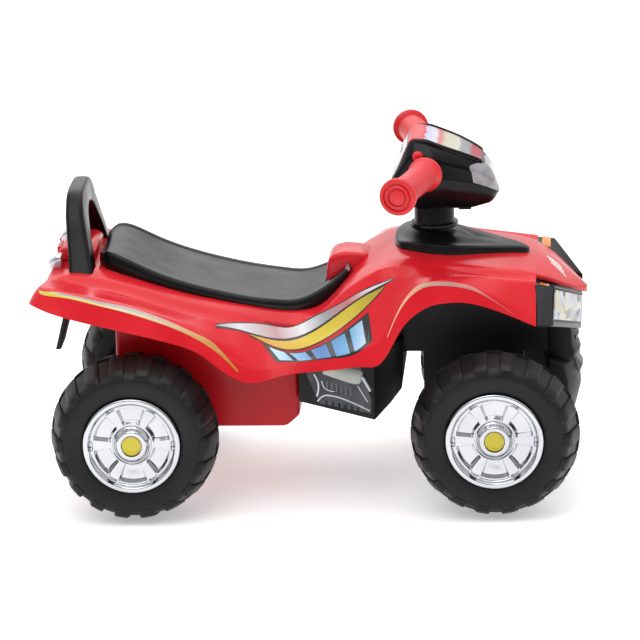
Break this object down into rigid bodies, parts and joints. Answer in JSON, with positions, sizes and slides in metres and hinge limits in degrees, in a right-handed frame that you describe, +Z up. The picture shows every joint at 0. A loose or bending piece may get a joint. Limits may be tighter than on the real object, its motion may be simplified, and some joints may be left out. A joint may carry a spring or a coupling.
{
  "type": "kids quad bike",
  "caption": "Foot-to-floor ride-on quad bike with lifting seat lid, steered front wheels, backrest, storage box and handlebar pod with press buttons.",
  "frame": {"origin": "centre of the bounding box on the floor", "axes": "+X forward, +Y to the rider's left, +Z up"},
  "size_m": [0.612, 0.38, 0.4001],
  "materials": {
    "red_plastic": "glossy moulded",
    "black_plastic": "satin moulded",
    "silver_plastic": "silver lacquer",
    "steel": "zinc plated",
    "tyre_plastic": "blow-moulded, dull",
    "plated_plastic": "bright plated",
    "yellow_plastic": "glossy moulded",
    "grey_plastic": "satin",
    "grey_lens": "smoked",
    "red_lens": "clear-look lens"
  },
  "bodies": {
    "chassis": {"body_shell": "red_plastic", "tail_cowl": "red_plastic", "storage_tub": "red_plastic", "foot_rest": "black_plastic", "spine": "black_plastic", "keel": "black_plastic", "axle_beam": "black_plastic", "kingpins": "steel", "bumper": "black_plastic", "headlight_bezel_left": "black_plastic", "headlight_bezel_right": "black_plastic", "headlight_lens_left": "silver_plastic", "headlight_lens_right": "silver_plastic", "column_base": "black_plastic", "backrest": "black_plastic", "tail_lamp": "red_lens", "reflectors": "silver_plastic", "mud_flap": "black_plastic", "rear_axle": "steel", "axle_brackets": "black_plastic", "rear_axle_nuts": "steel", "column_bushes": "grey_plastic", "engine_panel_left": "grey_plastic", "engine_panel_right": "grey_plastic", "seat_hinge_pin": "steel", "beam_bolts": "steel"},
    "steering": {"steering_rod": "steel", "drop_arm": "black_plastic", "post_cover": "black_plastic", "pod_lower": "black_plastic", "pod_upper": "black_plastic", "top_panel": "red_plastic", "dash_panel": "silver_plastic", "pod_lens": "grey_lens", "handlebar_tube": "steel", "grip_left": "red_plastic", "grip_right": "red_plastic", "sound_unit": "grey_plastic", "battery_cover": "black_plastic"},
    "tie": {"tie_plate": "black_plastic"},
    "seat": {"seat": "black_plastic"},
    "knuckle_left": {"knuckle_left": "black_plastic", "stub_axle_left": "steel"},
    "wheel_front_left": {"tyre_front_left": "tyre_plastic", "wheel_cover_front_left": "plated_plastic", "wheel_cap_front_left": "yellow_plastic"},
    "wheel_rear_left": {"tyre_rear_left": "tyre_plastic", "wheel_cover_rear_left": "plated_plastic", "wheel_cap_rear_left": "yellow_plastic"},
    "knuckle_right": {"knuckle_right": "black_plastic", "stub_axle_right": "steel"},
    "wheel_front_right": {"tyre_front_right": "tyre_plastic", "wheel_cover_front_right": "plated_plastic", "wheel_cap_front_right": "yellow_plastic"},
    "wheel_rear_right": {"tyre_rear_right": "tyre_plastic", "wheel_cover_rear_right": "plated_plastic", "wheel_cap_rear_right": "yellow_plastic"},
    "horn_button": {"horn_button": "red_plastic"},
    "music_button_left": {"music_button_left": "silver_plastic"},
    "music_button_right": {"music_button_right": "silver_plastic"}
  },
  "joints": [
    {"name": "steering_turn", "type": "hinge", "parent": "chassis", "child": "steering", "pos_m": [0.136, 0, 0.1], "axis": [0, 0, 1], "range_deg": [-20, 20]},
    {"name": "tie_pivot", "type": "hinge", "parent": "steering", "child": "tie", "pos_m": [0.17, 0, 0.066], "axis": [0, 0, 1], "range_deg": [-20.5, 20.5]},
    {"name": "seat_hinge", "type": "hinge", "parent": "chassis", "child": "seat", "pos_m": [0.04, 0, 0.254], "axis": [0, 1, 0], "range_deg": [0, 75]},
    {"name": "knuckle_left_turn", "type": "hinge", "parent": "chassis", "child": "knuckle_left", "pos_m": [0.204, 0.084, 0.09], "axis": [0, 0, 1], "range_deg": [-20.5, 20.5]},
    {"name": "wheel_front_left_spin", "type": "hinge", "parent": "knuckle_left", "child": "wheel_front_left", "pos_m": [0.204, 0.145, 0.093], "axis": [0, 1, 0], "continuous": true},
    {"name": "wheel_rear_left_spin", "type": "hinge", "parent": "chassis", "child": "wheel_rear_left", "pos_m": [-0.193, 0.146, 0.093], "axis": [0, 1, 0], "continuous": true},
    {"name": "knuckle_right_turn", "type": "hinge", "parent": "chassis", "child": "knuckle_right", "pos_m": [0.204, -0.084, 0.09], "axis": [0, 0, 1], "range_deg": [-20.5, 20.5]},
    {"name": "wheel_front_right_spin", "type": "hinge", "parent": "knuckle_right", "child": "wheel_front_right", "pos_m": [0.204, -0.145, 0.093], "axis": [0, 1, 0], "continuous": true},
    {"name": "wheel_rear_right_spin", "type": "hinge", "parent": "chassis", "child": "wheel_rear_right", "pos_m": [-0.193, -0.146, 0.093], "axis": [0, 1, 0], "continuous": true},
    {"name": "horn_button_press", "type": "slide", "parent": "steering", "child": "horn_button", "axis": [0, 1, 0], "range_m": [0, 0.003], "stiffness_N_per_m": 200},
    {"name": "music_button_left_press", "type": "slide", "parent": "steering", "child": "music_button_left", "axis": [0.8944, 0, -0.4472], "range_m": [0, 0.002], "stiffness_N_per_m": 200},
    {"name": "music_button_right_press", "type": "slide", "parent": "steering", "child": "music_button_right", "axis": [0.8944, 0, -0.4472], "range_m": [0, 0.002], "stiffness_N_per_m": 200}
  ],
  "couplings": [
    {"joint": "tie_pivot", "follows": "steering_turn", "ratio": -1},
    {"joint": "knuckle_left_turn", "follows": "steering_turn", "ratio": 1},
    {"joint": "knuckle_right_turn", "follows": "steering_turn", "ratio": 1}
  ]
}
